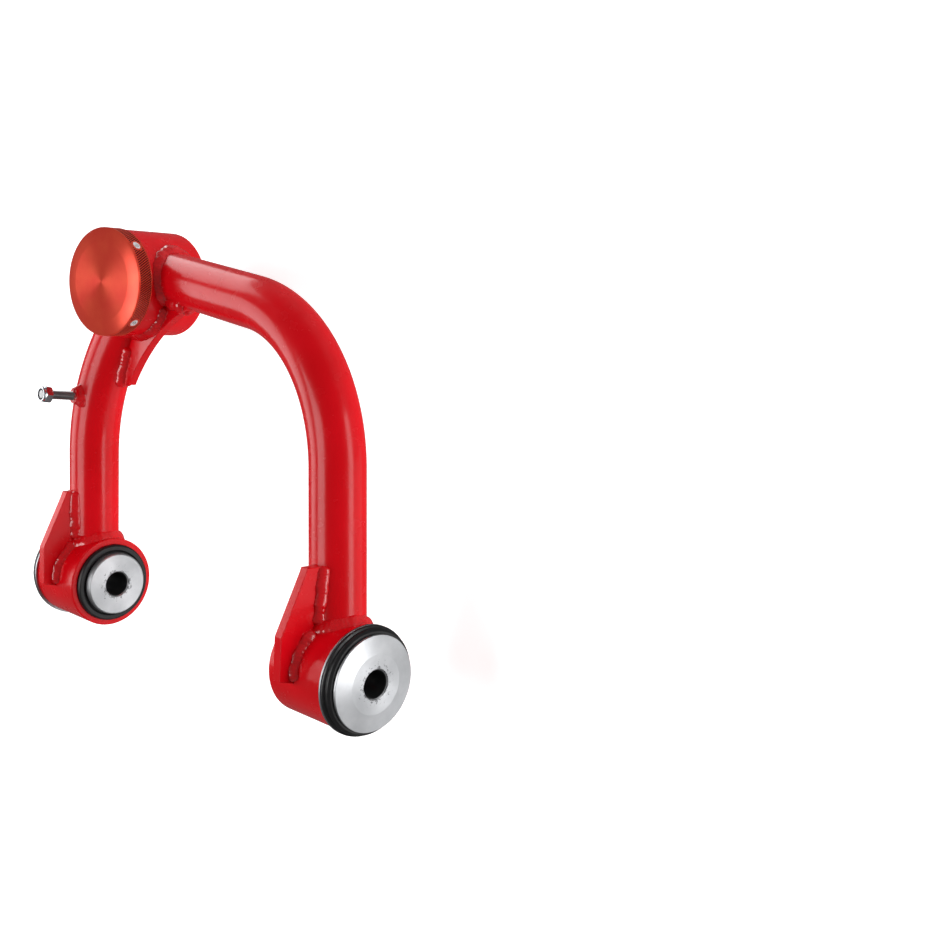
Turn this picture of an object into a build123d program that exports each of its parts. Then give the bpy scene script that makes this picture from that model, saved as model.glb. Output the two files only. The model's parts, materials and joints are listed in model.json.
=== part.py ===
"""Tubular upper control arm, left-hand side: two bent tubes welded to two bushing eyes and a ball joint cup.

Frame: the origin is the middle of the pivot axis. +Y runs along the pivot axis from the front eye to
the rear eye, +X points outboard to the ball joint and +Z points up, out of the cap of the ball joint cup.
All lengths are in millimetres and all angles in degrees.
"""

import os
from math import cos, radians, sin

from build123d import *

# ---- pivot eyes ----
eye_inner_y = 107.8  # pivot middle to the inner end of either eye
eye_length = 45.8
eye_r = 30.0
eye_wall = 4.0
eye_chamfer = 0.8
eye_middle_y = eye_inner_y + eye_length / 2
eye_outer_y = eye_inner_y + eye_length

# ---- ball centre, which the cup, the cap, the ball joint and both tubes' outer ends are placed from ----
ball_centre = (203.0, 90.0, -9.0)

# ---- tubes ----
tube_r = 16.25
tube_wall = 4.0
front_tube_y = -eye_middle_y - 1.5  # where the front tube's axis meets the pivot axis
rear_tube_y = eye_middle_y - 0.4
# where the two straight runs of a tube's axis would meet
front_bend = (ball_centre[0] - 13.0, front_tube_y + 24.6, ball_centre[2] + 2.3)
front_bend_r = 100.0
rear_bend = (ball_centre[0] - 51.3, rear_tube_y + 0.6, ball_centre[2] + 13.7)
rear_bend_r = 175.0

# ---- ball joint cup ----
cup_tilt = 8.5  # the cup leans back about X, for caster
cup_r = 33.7
cup_wall = 5.2
cup_bore_r = cup_r - cup_wall
cup_top = 25.5  # heights along the cup axis are measured from the ball centre
cup_bottom = -20.3

# ---- billet cap ----
collar_r = cup_bore_r + 1.5  # the ball joint body's collar, which the cap fits over
collar_top = cup_top + 7.9
cap_r = cup_r + 0.6
cap_flat_r = 25.5
cap_rise = 1.9  # the flat centre stands above the outer edge
cap_skirt_r = collar_r + 0.1
cap_roof = collar_top + 0.2
cap_rim_top = cap_roof + 2.4
screw_r = 3.1
screw_height = cup_top + 5.3
screw_angles = (-135, -45, 45, 135)
screw_socket_r = 1.5

# ---- ball joint ----
ball_r = 15.0
ball_fit = 0.05  # radial running clearance of the ball in its bearing
cavity_r = 21.8
bearing_r = cavity_r
bearing_split = 3.0
bearing_bottom = -0.6 * ball_r
nose_r = 23.0
nose_bottom = cup_bottom - 5.7
boot_groove_r = nose_r - 1.5
boot_groove = (nose_bottom + 1.4, nose_bottom + 3.8)
mouth_slope = 0.471
mouth_r = 0.8 * ball_r + 1.4  # the body's mouth clears the ball where it comes out of the bearing
neck_r = 6.5
boot_low = nose_bottom - 3.9  # where the boot's two folds part
taper_top = boot_low - 4.1
taper_top_r = 9.0
taper_bottom = taper_top - 14.0
taper_bottom_r = 7.8
thread_r = 7.0
nut_top = taper_bottom - 1.0
nut_flange_r = 15.5
nut_flange = 2.5
nut_hex = 22.0  # across flats
nut_bottom = nut_top - 14.0
nut_slot_depth = 4.5
nut_slot_width = 3.6
nut_turn = 90  # the cotter pin lies across the arm, in line with the pivot axis
stud_groove = (nut_bottom - 0.8, nut_bottom - 0.2)  # thread relief just below the castle nut
stud_groove_r = thread_r - 0.6
stud_end = nut_bottom - 6.0
pin_r = 1.5
pin_height = nut_bottom + 2.3
boot_bulge_r = nose_r + 2.0
boot_wall = 1.6

# ---- bushings ----
bore_r = 8.0
core_r = 12.5
inner_face_y = eye_inner_y - 7.4  # inner end of the turned sleeve
outer_face_y = eye_outer_y + 9.4  # rim of the big outer disc
mouth_face_y = outer_face_y + 1.7  # flat around the bore mouth of the big disc
small_disc_r = 20.7
small_disc_end = inner_face_y + 5.2
big_disc_r = 27.5
big_disc_start = outer_face_y - 1.6
big_flat_r = 17.0
shell_wall = 1.5
flange_r = eye_r + 1.4
flange_t = 1.5
rubber_fit = 0.05  # radial clearance round the turning sleeve
rubber_lip_y = big_disc_start - 0.4

# ---- gussets ----
gusset_t = 6.0
front_gusset_y = -eye_middle_y + 3.0
rear_gusset_y = eye_middle_y - 0.1
gusset_outline = (
    (60.3, tube_r - 8.25),
    (60.3, tube_r + 7.85),
    (56.3, tube_r + 9.35),
    (23.5, eye_r + 9.9),
    (-1.5, eye_r + 9.4),
    (-4.6, eye_r - 3.5),
    (-4.6, tube_r - 8.25),
)
web_t = 6.0
web_z = ball_centre[2] + 4.0
web_edge = (  # the free edge, an arc through three points
    (ball_centre[0] - 67.5, ball_centre[1] + 8.5),
    (ball_centre[0] - 35.2, ball_centre[1] - 19.4),
    (ball_centre[0] - 12.0, ball_centre[1] - 59.0),
)
weld_leg = 4.5

# ---- brake line bolt ----
bolt_station = 0.584  # along the rear tube's axis from the eye
bolt_lean = 3.5  # lean towards the ball joint
bolt_r = 3.0
bolt_head_flats = 10.0
bolt_head_h = 4.0
bolt_seat = tube_r - 0.35  # tube axis to the underside of the head
bolt_end = bolt_seat + 27.1
bolt_nut_start = bolt_end - 6.2
bolt_nut_h = 5.0
bolt_nut_collar = 1.6
nylon_r = 3.9

os.makedirs("parts", exist_ok=True)

tilt = radians(cup_tilt)
cup_up = (0, -sin(tilt), cos(tilt))
cup_axis = Axis(ball_centre, cup_up)
cup_plane = Plane(origin=ball_centre, x_dir=(1, 0, 0), z_dir=cup_up)
cup_section = Plane(origin=ball_centre, x_dir=(1, 0, 0), z_dir=(0, -cos(tilt), -sin(tilt)))
front_target = (ball_centre[0] + 8.4, ball_centre[1] + 1.0, ball_centre[2] - 1.0)
rear_target = (ball_centre[0], ball_centre[1] + 1.5, ball_centre[2] - 5.0)
front_points = ((0, front_tube_y, 0), front_bend, front_target)
rear_points = ((0, rear_tube_y, 0), rear_bend, rear_target)


def turned(points, plane=cup_section, axis=cup_axis):
    """A solid of revolution from a closed outline of (radius, height) points."""
    with BuildPart() as piece:
        with BuildSketch(plane):
            with BuildLine():
                Polyline(*points, close=True)
            make_face()
        revolve(axis=axis)
    return piece.part


def about_pivot(points, side):
    """A solid of revolution about the pivot axis; side is -1 for the front eye and 1 for the rear eye."""
    return turned([(r, side * y) for r, y in points], Plane.XY, Axis.Y)


def swept(points, bend_r, outer_r, inner_r=0.0):
    """A round bar, or a tube, along a path with one bend."""
    with BuildPart() as piece:
        with BuildLine() as path:
            FilletPolyline(*points, radius=bend_r)
        with BuildSketch(Plane(origin=path.wire() @ 0, z_dir=path.wire() % 0)):
            Circle(outer_r)
            if inner_r:
                Circle(inner_r, mode=Mode.SUBTRACT)
        sweep(path=path.wire())
    return piece.part


def eye_cylinder(side, radius):
    """The eye's outside, as a plain cylinder of the given radius and the eye's own length."""
    far = eye_outer_y
    return about_pivot([(0, eye_inner_y), (radius, eye_inner_y), (radius, far), (0, far)], side)


def cup_cylinder(radius, low=cup_bottom, high=cup_top):
    return turned([(0, low), (radius, low), (radius, high), (0, high)])


def save(piece, name):
    piece.label = name
    export_step(piece, f"parts/{name}.step")


def plate_y(outline, middle, thickness):
    """A flat plate square to the pivot axis, from an (x, z) outline."""
    with BuildPart() as piece:
        with BuildSketch(Plane(origin=(0, middle, 0), x_dir=(1, 0, 0), z_dir=(0, -1, 0))):
            with BuildLine():
                Polyline(*outline, close=True)
            make_face()
        extrude(amount=thickness / 2, both=True)
    return piece.part


# ---- plain envelopes the welded pieces are cut and grown from ----
front_bar = swept(front_points, front_bend_r, tube_r)
rear_bar = swept(rear_points, rear_bend_r, tube_r)
front_bar_grown = swept(front_points, front_bend_r, tube_r + weld_leg)
rear_bar_grown = swept(rear_points, rear_bend_r, tube_r + weld_leg)
front_eye_bar = eye_cylinder(-1, eye_r)
rear_eye_bar = eye_cylinder(1, eye_r)
cup_bar = cup_cylinder(cup_r)

# ---- tubes, coped to sit on the eyes and the cup ----
front_tube = swept(front_points, front_bend_r, tube_r, tube_r - tube_wall) - front_eye_bar - cup_bar
rear_tube = swept(rear_points, rear_bend_r, tube_r, tube_r - tube_wall) - rear_eye_bar - cup_bar - front_bar
rear_tube = rear_tube.solids().sort_by(SortBy.VOLUME)[-1]
save(front_tube, "front_tube")
save(rear_tube, "rear_tube")

# ---- eyes ----
for end, side in (("front", -1), ("rear", 1)):
    far = eye_outer_y
    shell_r = eye_r - eye_wall
    eye = about_pivot(
        [
            (shell_r, eye_inner_y),
            (eye_r - eye_chamfer, eye_inner_y),
            (eye_r, eye_inner_y + eye_chamfer),
            (eye_r, far),
            (shell_r, far),
        ],
        side,
    )
    save(eye, f"{end}_eye")

# ---- ball joint cup ----
cup = turned(
    [
        (cup_bore_r, cup_bottom),
        (cup_r - 1, cup_bottom),
        (cup_r, cup_bottom + 1),
        (cup_r, cup_top),
        (cup_bore_r, cup_top),
    ]
)
save(cup, "ball_joint_cup")

# ---- gussets at the eyes ----
plates = {}
for end, side, bar, grown, eye_bar, middle in (
    ("front", -1, front_bar, front_bar_grown, front_eye_bar, front_gusset_y),
    ("rear", 1, rear_bar, rear_bar_grown, rear_eye_bar, rear_gusset_y),
):
    plate = plate_y(gusset_outline, middle, gusset_t) - bar - eye_bar
    plates[end] = plate
    save(plate, f"{end}_gusset")
    eye_grown = eye_cylinder(side, eye_r + weld_leg)
    ring = (grown & eye_grown) - bar - eye_bar - plate
    save(ring, f"{end}_eye_weld")
    beads = plate_y(gusset_outline, middle, gusset_t + 2 * weld_leg) & (grown + eye_grown)
    beads = beads - plate - bar - eye_bar - (grown & eye_grown)
    save(beads, f"{end}_gusset_welds")

# ---- web plate between the tubes under the cup ----
with BuildPart() as web_blank:
    with BuildSketch(Plane.XY.offset(web_z)):
        with BuildLine():
            ThreePointArc(*web_edge)
            Polyline(
                web_edge[2],
                (ball_centre[0], web_edge[2][1]),
                ball_centre[:2],
                (web_edge[0][0], rear_tube_y - 5.3),
                web_edge[0],
            )
        make_face()
    extrude(amount=web_t / 2, both=True)
web = web_blank.part - front_bar - rear_bar - cup_bar
save(web, "web_gusset")

cup_grown = cup_cylinder(cup_r + weld_leg)
front_ring = (front_bar_grown & cup_grown) - front_bar - cup_bar - rear_bar - web
rear_ring = (rear_bar_grown & cup_grown) - rear_bar - cup_bar - front_bar - web - front_bar_grown
save(front_ring, "front_cup_weld")
save(rear_ring, "rear_cup_weld")

web_thick = web_blank.part.moved(Location((0, 0, web_t))) + web_blank.part.moved(Location((0, 0, -web_t)))
web_near = (front_bar_grown + rear_bar_grown + cup_grown) & web_thick
web_beads = web_near - front_bar - rear_bar - cup_bar - web
web_beads = web_beads - (front_bar_grown & cup_grown) - (rear_bar_grown & cup_grown)
save(web_beads, "web_gusset_welds")


# ---- bushings: flanged steel shell, bonded rubber and the turned aluminium sleeve that carries the bolt ----
for end, side in (("front", -1), ("rear", 1)):
    far = eye_outer_y
    flange_y = far + flange_t
    shell_r = eye_r - eye_wall
    rubber_r = shell_r - shell_wall
    shell_y = eye_inner_y + 0.8
    shell = about_pivot(
        [
            (rubber_r, shell_y),
            (shell_r, shell_y),
            (shell_r, far),
            (flange_r, far),
            (flange_r, flange_y),
            (rubber_r, flange_y),
        ],
        side,
    )
    save(shell, f"{end}_bushing_shell")
    inside_r = core_r + rubber_fit
    rubber_end = small_disc_end + 0.4
    rubber = about_pivot(
        [
            (inside_r, rubber_end),
            (small_disc_r + 0.8, rubber_end),
            (small_disc_r + 1.8, rubber_end - 1.2),
            (shell_r - 0.8, rubber_end - 1.2),
            (shell_r, rubber_end),
            (shell_r, shell_y),
            (rubber_r, shell_y),
            (rubber_r, flange_y),
            (flange_r - 0.2, flange_y),
            (flange_r, flange_y + 0.9),
            (flange_r, flange_y + 1.6),
            (flange_r - 1.7, flange_y + 2.4),
            (flange_r - 1.3, flange_y + 4.4),
            (flange_r - 2.8, rubber_lip_y),
            (inside_r, rubber_lip_y),
        ],
        side,
    )
    save(rubber, f"{end}_bushing_rubber")
    sleeve = about_pivot(
        [
            (bore_r, inner_face_y + 1),
            (bore_r + 1, inner_face_y),
            (small_disc_r - 0.8, inner_face_y),
            (small_disc_r, inner_face_y + 0.8),
            (small_disc_r, small_disc_end),
            (core_r, small_disc_end),
            (core_r, big_disc_start),
            (big_disc_r, big_disc_start),
            (big_disc_r, outer_face_y),
            (big_flat_r, mouth_face_y),
            (bore_r + 1, mouth_face_y),
            (bore_r, mouth_face_y - 1),
        ],
        side,
    )
    save(sleeve, f"{end}_bushing_sleeve")

# ---- ball joint ----
with BuildPart() as clearance_ball:
    with Locations(ball_centre):
        Sphere(ball_r + ball_fit)
with BuildPart() as solid_ball:
    with Locations(ball_centre):
        Sphere(ball_r)


def mouth_at(height):
    """Radius of the conical mouth that lets the stud swing."""
    return mouth_r + mouth_slope * (bearing_bottom - 1.9 - height)


body = turned(
    [
        (mouth_at(nose_bottom), nose_bottom),
        (nose_r, nose_bottom),
        (nose_r, boot_groove[0]),
        (boot_groove_r, boot_groove[0]),
        (boot_groove_r, boot_groove[1]),
        (nose_r, boot_groove[1]),
        (nose_r, cup_bottom),
        (cup_bore_r, cup_bottom),
        (cup_bore_r, cup_top),
        (collar_r, cup_top),
        (collar_r, cup_top + 1.0),
        (collar_r - 1.5, cup_top + 1.0),
        (collar_r - 1.5, cup_top + 2.8),
        (collar_r, cup_top + 2.8),
        (collar_r, collar_top),
        (cavity_r, collar_top),
        (cavity_r, bearing_bottom),
        (mouth_at(bearing_bottom), bearing_bottom),
    ]
)
save(body, "ball_joint_body")
bearing = turned(
    [(0, bearing_bottom), (bearing_r, bearing_bottom), (bearing_r, bearing_split), (0, bearing_split)]
)
save(bearing - clearance_ball.part, "ball_bearing")
seat_top = ball_r + ball_fit + 1.5
seat = turned([(3, bearing_split), (bearing_r, bearing_split), (bearing_r, seat_top), (3, seat_top)])
save(seat - clearance_ball.part, "pressure_seat")
washer_r = bearing_r - 1.3
washer_rise = 2.2
washer_t = 1.2
washer = turned(
    [
        (washer_r, seat_top),
        (washer_r, seat_top + washer_t),
        (8, seat_top + washer_t + washer_rise),
        (8, seat_top + washer_rise),
    ]
)
save(washer, "preload_spring_washer")
plate_low = seat_top + washer_t + washer_rise
cover = turned([(0, plate_low), (cavity_r, plate_low), (cavity_r, plate_low + 3), (0, plate_low + 3)])
save(cover, "cover_plate")

shank = turned(
    [
        (0, -ball_r + 3),
        (neck_r, -ball_r + 3),
        (neck_r, taper_top + 1.6),
        (taper_top_r, taper_top),
        (taper_bottom_r, taper_bottom),
        (thread_r, taper_bottom - 0.6),
        (thread_r, stud_groove[1]),
        (stud_groove_r, stud_groove[1]),
        (stud_groove_r, stud_groove[0]),
        (thread_r, stud_groove[0]),
        (thread_r, stud_end + 1.2),
        (thread_r - 1.2, stud_end),
        (0, stud_end),
    ]
)
ball_flat = cup_cylinder(ball_r + 1, ball_r - 1.8, ball_r + 1)
pin_hole = Cylinder(pin_r + 0.1, 4 * thread_r, rotation=(0, 90, 0))
nut_place = cup_plane.location * Rot(0, 0, nut_turn)
pin_place = nut_place * Pos(0, 0, pin_height)
stud = shank + solid_ball.part - ball_flat - pin_place * pin_hole
save(stud, "ball_stud")

with BuildPart() as castle_nut:
    with BuildSketch(Plane.XY.offset(nut_bottom)):
        RegularPolygon(nut_hex / 2, 6, major_radius=False, rotation=30)
    extrude(amount=nut_top - nut_bottom)
    with Locations((0, 0, nut_top - nut_flange / 2)):
        Cylinder(nut_flange_r, nut_flange)
    with Locations((0, 0, (nut_top + nut_bottom) / 2)):
        Cylinder(thread_r + 0.05, nut_top - nut_bottom + 1, mode=Mode.SUBTRACT)
    with Locations((0, 0, nut_bottom + nut_slot_depth / 2)):
        for turn in (0, 60, 120):
            Box(2 * nut_hex, nut_slot_width, nut_slot_depth, rotation=(0, 0, turn), mode=Mode.SUBTRACT)
save(nut_place * castle_nut.part, "castle_nut")

with BuildPart() as cotter_pin:
    pin_out = nut_hex / 2 + 3.5
    with BuildLine() as pin_line:
        FilletPolyline((pin_out, 0, 0), (-pin_out, 0, 0), (-pin_out, 0, -7.5), radius=2.2)
    with BuildSketch(Plane(origin=(pin_out, 0, 0), z_dir=(-1, 0, 0))):
        Circle(pin_r)
    sweep(path=pin_line.wire())
    with Locations((pin_out + 2.2, 0, 0)):
        Torus(2.4, 1.1, rotation=(90, 0, 0))
save(pin_place * cotter_pin.part, "cotter_pin")

# ---- dust boot, in two folds, and its clip rings ----
boot_upper = turned(
    [
        (boot_groove_r + 0.1, boot_groove[1] - 0.2),
        (nose_r + boot_wall, boot_groove[1] - 0.2),
        (nose_r + boot_wall + 0.2, nose_bottom),
        (boot_bulge_r + 0.4, nose_bottom - 3.6),
        (boot_bulge_r + 0.4 - boot_wall, nose_bottom - 3.6),
        (nose_r + 0.2, nose_bottom - 0.2),
        (nose_r + 0.15, boot_groove[0] + 0.15),
        (boot_groove_r + 0.1, boot_groove[0] + 0.15),
    ]
)
save(boot_upper, "boot_upper_fold")
foot_r = taper_top_r + 1.6
boot_lower = turned(
    [
        (boot_bulge_r + 0.4, boot_low),
        (boot_bulge_r - 0.4, boot_low - 2.5),
        (taper_top_r + 11.0, boot_low - 5.0),
        (taper_top_r + 3.6, boot_low - 5.6),
        (foot_r, boot_low - 6.4),
        (foot_r, boot_low - 8.6),
        (taper_top_r + 0.05, boot_low - 8.6),
        (taper_top_r + 0.05, boot_low - 3.9),
        (taper_top_r + 2.5, boot_low - 3.6),
        (taper_top_r + 10.0, boot_low - 3.2),
        (boot_bulge_r - 2.4, boot_low - 1.5),
        (boot_bulge_r + 0.4 - boot_wall, boot_low),
    ]
)
save(boot_lower, "boot_lower_fold")
clip_r = nose_r + boot_wall + 0.15
upper_clip = turned(
    [
        (clip_r, boot_groove[0] + 0.5),
        (clip_r + 1.1, boot_groove[0] + 0.5),
        (clip_r + 1.1, boot_groove[1] - 0.5),
        (clip_r, boot_groove[1] - 0.5),
    ]
)
save(upper_clip, "boot_upper_clip")
lower_clip = turned(
    [
        (foot_r, boot_low - 8.2),
        (foot_r + 1.1, boot_low - 8.2),
        (foot_r + 1.1, boot_low - 6.8),
        (foot_r, boot_low - 6.8),
    ]
)
save(lower_clip, "boot_lower_clip")

# ---- billet cap, its seal and its set screws ----
cap = turned(
    [
        (0, cap_roof),
        (cap_skirt_r, cap_roof),
        (cap_skirt_r, cup_top),
        (cap_r, cup_top),
        (cap_r, cap_rim_top),
        (cap_flat_r, cap_rim_top + cap_rise),
        (0, cap_rim_top + cap_rise),
    ]
)
with BuildPart() as seal:
    Torus(collar_r - 0.75, 0.75)
save(cup_plane.location * Pos(0, 0, cup_top + 1.9) * seal.part, "cap_seal")
screw_middle = (collar_r + cap_r - 0.3) / 2
screw_length = cap_r - 0.3 - collar_r
screws = []
for angle in screw_angles:
    screw_seat = cup_plane.location * Rot(0, 0, angle) * Pos(screw_middle, 0, screw_height)
    hole = screw_seat * Cylinder(screw_r, screw_length + 2, rotation=(0, 90, 0))
    cap = cap - hole
    socket = screw_seat * Pos(screw_length / 2 - 0.9, 0, 0) * Cylinder(screw_socket_r, 2, rotation=(0, 90, 0))
    screws.append(screw_seat * Cylinder(screw_r, screw_length, rotation=(0, 90, 0)) - socket)
save(cap, "billet_cap")
save(Compound(children=screws), "cap_set_screws")

# ---- brake line bolt on the rear tube ----
with BuildLine() as rear_axis:
    FilletPolyline(*rear_points, radius=rear_bend_r)
bolt_foot = rear_axis.wire() @ bolt_station
lean = radians(bolt_lean)
bolt_x = (cos(lean), 0, -sin(lean))
bolt_up = (sin(lean), 0, cos(lean))
bolt_place = Plane(origin=bolt_foot, x_dir=bolt_x, z_dir=bolt_up).location
with BuildPart() as bolt:
    with BuildSketch(Plane.XY.offset(bolt_seat)):
        RegularPolygon(bolt_head_flats / 2, 6, major_radius=False)
    extrude(amount=bolt_head_h)
    with Locations((0, 0, (bolt_seat + bolt_end) / 2)):
        Cylinder(bolt_r, bolt_end - bolt_seat)
bolt_piece = bolt_place * bolt.part - rear_bar
save(bolt_piece, "brake_line_bolt")
with BuildPart() as blob:
    with Locations((0, 0, bolt_seat - 1.5)):
        Sphere(9.0)
    with Locations((0, 0, bolt_seat + 10 + bolt_head_h + 0.8)):
        Cylinder(12, 20, mode=Mode.SUBTRACT)
save(bolt_place * blob.part - rear_bar - bolt_piece, "brake_bolt_weld")
with BuildPart() as lock_nut:
    with BuildSketch(Plane.XY.offset(bolt_nut_start)):
        RegularPolygon(bolt_head_flats / 2, 6, major_radius=False)
    extrude(amount=bolt_nut_h)
    with Locations((0, 0, bolt_nut_start + bolt_nut_h + bolt_nut_collar / 2)):
        Cylinder(bolt_head_flats / 2 - 0.2, bolt_nut_collar)
    with Locations((0, 0, bolt_nut_start + bolt_nut_h + 0.5)):
        Cylinder(nylon_r, 1.6, mode=Mode.SUBTRACT)
    with Locations((0, 0, bolt_nut_start + bolt_nut_h / 2)):
        Cylinder(bolt_r, 4 * bolt_nut_h, mode=Mode.SUBTRACT)
save(bolt_place * lock_nut.part, "brake_line_nut")
with BuildPart() as nylon:
    with Locations((0, 0, bolt_nut_start + bolt_nut_h + 0.5)):
        Cylinder(nylon_r, 1.6)
        Cylinder(bolt_r, 2, mode=Mode.SUBTRACT)
save(bolt_place * nylon.part, "nut_locking_ring")
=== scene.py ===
"""Looks of the tubular upper control arm.

Paint, weld beads, turned bushings, an anodised cap, a dust boot and a brake line bolt.
Heights along the cup's axis are measured from the ball centre. Lengths are in millimetres.
"""

import json
from math import acos, atan2, cos, pi, radians, sin, sqrt, tan

import bmesh
import bpy
from mathutils import Matrix, Vector, noise

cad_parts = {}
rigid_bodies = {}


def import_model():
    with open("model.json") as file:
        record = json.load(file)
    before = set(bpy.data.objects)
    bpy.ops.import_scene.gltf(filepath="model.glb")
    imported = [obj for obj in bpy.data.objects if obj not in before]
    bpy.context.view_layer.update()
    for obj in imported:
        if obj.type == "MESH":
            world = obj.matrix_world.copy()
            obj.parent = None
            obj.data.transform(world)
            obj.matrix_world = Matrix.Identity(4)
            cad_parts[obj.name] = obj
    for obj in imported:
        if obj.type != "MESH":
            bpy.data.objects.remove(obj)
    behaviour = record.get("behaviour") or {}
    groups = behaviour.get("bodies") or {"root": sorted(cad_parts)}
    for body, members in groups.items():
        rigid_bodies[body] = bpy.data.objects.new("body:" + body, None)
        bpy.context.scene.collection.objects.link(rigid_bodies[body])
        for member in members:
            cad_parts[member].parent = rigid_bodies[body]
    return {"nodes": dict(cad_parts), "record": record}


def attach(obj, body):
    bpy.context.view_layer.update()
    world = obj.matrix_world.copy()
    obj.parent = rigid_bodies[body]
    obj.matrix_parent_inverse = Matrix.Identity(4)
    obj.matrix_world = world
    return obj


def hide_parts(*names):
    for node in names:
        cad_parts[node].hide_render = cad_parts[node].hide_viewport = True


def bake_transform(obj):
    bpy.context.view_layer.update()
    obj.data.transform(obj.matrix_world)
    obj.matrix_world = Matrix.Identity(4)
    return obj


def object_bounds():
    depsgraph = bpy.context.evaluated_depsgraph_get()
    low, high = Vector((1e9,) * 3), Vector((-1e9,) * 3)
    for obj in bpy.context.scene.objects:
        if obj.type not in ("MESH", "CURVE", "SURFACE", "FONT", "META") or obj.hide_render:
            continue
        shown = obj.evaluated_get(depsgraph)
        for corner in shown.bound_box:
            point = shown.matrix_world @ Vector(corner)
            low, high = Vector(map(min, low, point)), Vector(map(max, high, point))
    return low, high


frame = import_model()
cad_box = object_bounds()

MM = 0.001  # lengths below are millimetres, and meshes are metres

# ---- the part's own dimensions, as its CAD gives them ----
eye_inner_y = 107.8
eye_outer_y = 153.6
eye_r = 30.0
eye_bore_r = 26.0
tube_r = 16.25
front_points = ((0, -132.2, 0), (190.0, -107.6, -6.7), (211.4, 91.0, -10.0))
front_bend_r = 100.0
rear_points = ((0, 130.3, 0), (151.7, 130.9, 4.7), (203.0, 91.5, -14.0))
rear_bend_r = 175.0
ball_centre = Vector((203.0, 90.0, -9.0))
cup_tilt = radians(8.5)
cup_r = 33.7
cup_bore_r = 28.5
cup_top = 25.5
cup_bottom = -20.3
gusset_t = 6.0
gusset_front_y = -127.7
gusset_rear_y = 130.6
web_t = 6.0
web_z = -5.0
bore_r = 8.0
core_r = 12.5
shell_bore_r = 24.5
shell_start_y = 108.6
flange_r = 31.4
flange_end_y = 155.1
small_disc_r = 20.7
big_disc_r = 27.5
sleeve_start_y = 100.4
sleeve_end_y = 164.7
cap_r = 34.3
screw_height = 30.8
screw_degrees = (-135, -45, 45, 135)
bolt_r = 3.0
bolt_flats = 10.0
bolt_seat = 15.9
bolt_head_end = 19.9
bolt_end = 43.0
nut_start = 36.8
nut_end = 41.8
ball_r = 15.0
stud_thread_r = 7.0
stud_end = -69.0
boot_split = -29.75

cup_x = Vector((1, 0, 0))
cup_y = Vector((0, cos(cup_tilt), sin(cup_tilt)))
cup_up = Vector((0, -sin(cup_tilt), cos(cup_tilt)))


# ---------------------------------------------------------------- helpers: meshes
def add_piece(name, verts, faces, slot, replaces=(), body="arm", sharp=32, weighted=True):
    """A closed mesh from millimetre points, riding on a body and standing for CAD nodes."""
    mesh = bpy.data.meshes.new(name)
    mesh.from_pydata([tuple(c * MM for c in v) for v in verts], [], faces)
    bm = bmesh.new()
    bm.from_mesh(mesh)
    bmesh.ops.remove_doubles(bm, verts=bm.verts, dist=1e-6)
    bmesh.ops.dissolve_degenerate(bm, edges=bm.edges, dist=1e-7)
    bmesh.ops.recalc_face_normals(bm, faces=bm.faces)
    bm.to_mesh(mesh)
    bm.free()
    mesh.shade_smooth()
    mesh.set_sharp_from_angle(angle=radians(sharp))
    obj = bpy.data.objects.new(name, mesh)
    bpy.context.scene.collection.objects.link(obj)
    obj.data.materials.append(materials[slot])
    if weighted:
        flat = obj.modifiers.new("flat faces stay flat", "WEIGHTED_NORMAL")
        flat.keep_sharp = True
    if body:
        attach(obj, body)
    if replaces:
        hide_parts(*replaces)
    return obj


def rounded(points, radius, steps=3):
    """The closed outline with its corners rounded; corners on the axis stay sharp."""
    out = []
    count = len(points)
    for i, point in enumerate(points):
        here = Vector(point[:2])
        r = point[2] if len(point) > 2 else radius
        before = Vector(points[i - 1][:2]) - here
        after = Vector(points[(i + 1) % count][:2]) - here
        if here.x < 1e-6 or r <= 0:
            out.append(tuple(here))
            continue
        a, b = before.normalized(), after.normalized()
        half = acos(max(-1, min(1, a.dot(b)))) / 2
        if half > radians(87):
            out.append(tuple(here))
            continue
        back = min(r / tan(half), 0.45 * before.length, 0.45 * after.length)
        r = back * tan(half)
        centre = here + (a + b).normalized() * (r / sin(half))
        start = here + a * back - centre
        end = here + b * back - centre
        for k in range(steps + 1):
            t = k / steps
            arm = start.lerp(end, t)
            out.append(tuple(centre + arm.normalized() * r))
    return out


def cup_point(r, angle, h):
    return ball_centre + cup_x * (r * cos(angle)) + cup_y * (r * sin(angle)) + cup_up * h


def pivot_point(side):
    return lambda r, angle, h: Vector((r * cos(angle), side * h, r * sin(angle)))


def lathe(profile, place, segments=144, shape=None):
    """Vertices and faces of a closed outline of (radius, height) turned round an axis."""
    verts, rows, faces = [], [], []
    for r, h in profile:
        if r < 1e-6:
            rows.append([len(verts)])
            verts.append(place(0, 0, h))
            continue
        row = []
        for k in range(segments):
            angle = 2 * pi * k / segments
            row.append(len(verts))
            verts.append(place(shape(r, angle, h) if shape else r, angle, h))
        rows.append(row)
    for i, row in enumerate(rows):
        following = rows[(i + 1) % len(rows)]
        if len(row) == 1 and len(following) == 1:
            continue
        for k in range(segments):
            n = (k + 1) % segments
            if len(row) == 1:
                faces.append((row[0], following[n], following[k]))
            elif len(following) == 1:
                faces.append((row[k], row[n], following[0]))
            else:
                faces.append((row[k], row[n], following[n], following[k]))
    return verts, faces


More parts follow.
